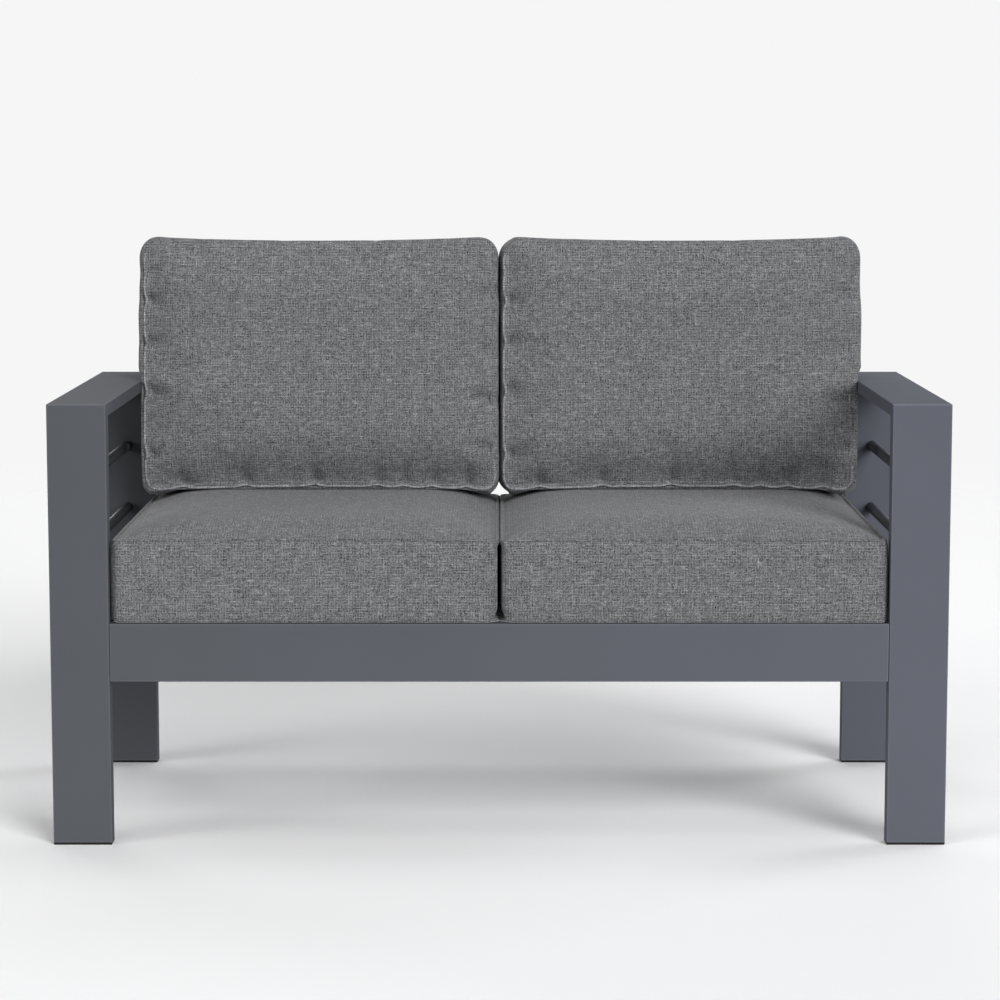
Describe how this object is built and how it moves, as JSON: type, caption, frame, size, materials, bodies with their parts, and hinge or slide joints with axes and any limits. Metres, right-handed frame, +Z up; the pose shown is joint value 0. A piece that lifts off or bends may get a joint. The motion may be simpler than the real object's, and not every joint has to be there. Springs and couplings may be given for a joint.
{
  "type": "patio loveseat",
  "caption": "Outdoor loveseat with a wide flat-tube metal frame, round bars under flat armrests, a slatted seat and loose boxed seat and back cushions that lift off.",
  "frame": {"origin": "on the floor, under the middle of the frame", "axes": "+Z up, -Y towards the front where people sit down, +X to the right seen from the front"},
  "size_m": [1.35, 0.633, 0.9029],
  "materials": {
    "slate_powder_coat": "satin",
    "foot_cap_black": "matte",
    "plated_fastener": "satin",
    "melange_fabric": "matte",
    "cushion_foam": "matte"
  },
  "bodies": {
    "frame": {"arm_bar_lower_left": "slate_powder_coat", "arm_bar_lower_right": "slate_powder_coat", "arm_bar_upper_left": "slate_powder_coat", "arm_bar_upper_right": "slate_powder_coat", "armrest_left": "slate_powder_coat", "armrest_right": "slate_powder_coat", "back_slat_01": "slate_powder_coat", "back_slat_02": "slate_powder_coat", "back_slat_03": "slate_powder_coat", "back_slat_04": "slate_powder_coat", "back_slat_05": "slate_powder_coat", "back_slat_06": "slate_powder_coat", "back_stile_left": "slate_powder_coat", "back_stile_right": "slate_powder_coat", "back_top_rail": "slate_powder_coat", "foot_cap_front_left": "foot_cap_black", "foot_cap_front_right": "foot_cap_black", "foot_cap_rear_left": "foot_cap_black", "foot_cap_rear_right": "foot_cap_black", "frame_bolts": "plated_fastener", "frame_rivet_nuts": "plated_fastener", "frame_washers": "plated_fastener", "front_leg_left": "slate_powder_coat", "front_leg_right": "slate_powder_coat", "rear_leg_left": "slate_powder_coat", "rear_leg_right": "slate_powder_coat", "seat_end_rail_left": "slate_powder_coat", "seat_end_rail_right": "slate_powder_coat", "seat_front_rail": "slate_powder_coat", "seat_rear_rail": "slate_powder_coat", "seat_slat_01": "slate_powder_coat", "seat_slat_02": "slate_powder_coat", "seat_slat_03": "slate_powder_coat", "seat_slat_04": "slate_powder_coat", "seat_slat_05": "slate_powder_coat", "seat_slat_06": "slate_powder_coat", "seat_slat_07": "slate_powder_coat", "seat_slat_08": "slate_powder_coat", "seat_slat_09": "slate_powder_coat", "seat_slat_10": "slate_powder_coat", "side_rail_left": "slate_powder_coat", "side_rail_right": "slate_powder_coat"},
    "seat_cushion_left_body": {"seat_cushion_left": "melange_fabric", "seat_foam_left": "cushion_foam"},
    "back_cushion_left_body": {"back_cushion_left": "melange_fabric", "back_foam_left": "cushion_foam"},
    "seat_cushion_right_body": {"seat_cushion_right": "melange_fabric", "seat_foam_right": "cushion_foam"},
    "back_cushion_right_body": {"back_cushion_right": "melange_fabric", "back_foam_right": "cushion_foam"}
  },
  "joints": [
    {"name": "seat_cushion_left_lift", "type": "slide", "parent": "frame", "child": "seat_cushion_left_body", "axis": [0, 0, 1], "range_m": [0, 0.35]},
    {"name": "back_cushion_left_lift", "type": "slide", "parent": "seat_cushion_left_body", "child": "back_cushion_left_body", "axis": [0, 0, 1], "range_m": [0, 0.2]},
    {"name": "seat_cushion_right_lift", "type": "slide", "parent": "frame", "child": "seat_cushion_right_body", "axis": [0, 0, 1], "range_m": [0, 0.35]},
    {"name": "back_cushion_right_lift", "type": "slide", "parent": "seat_cushion_right_body", "child": "back_cushion_right_body", "axis": [0, 0, 1], "range_m": [0, 0.2]}
  ]
}
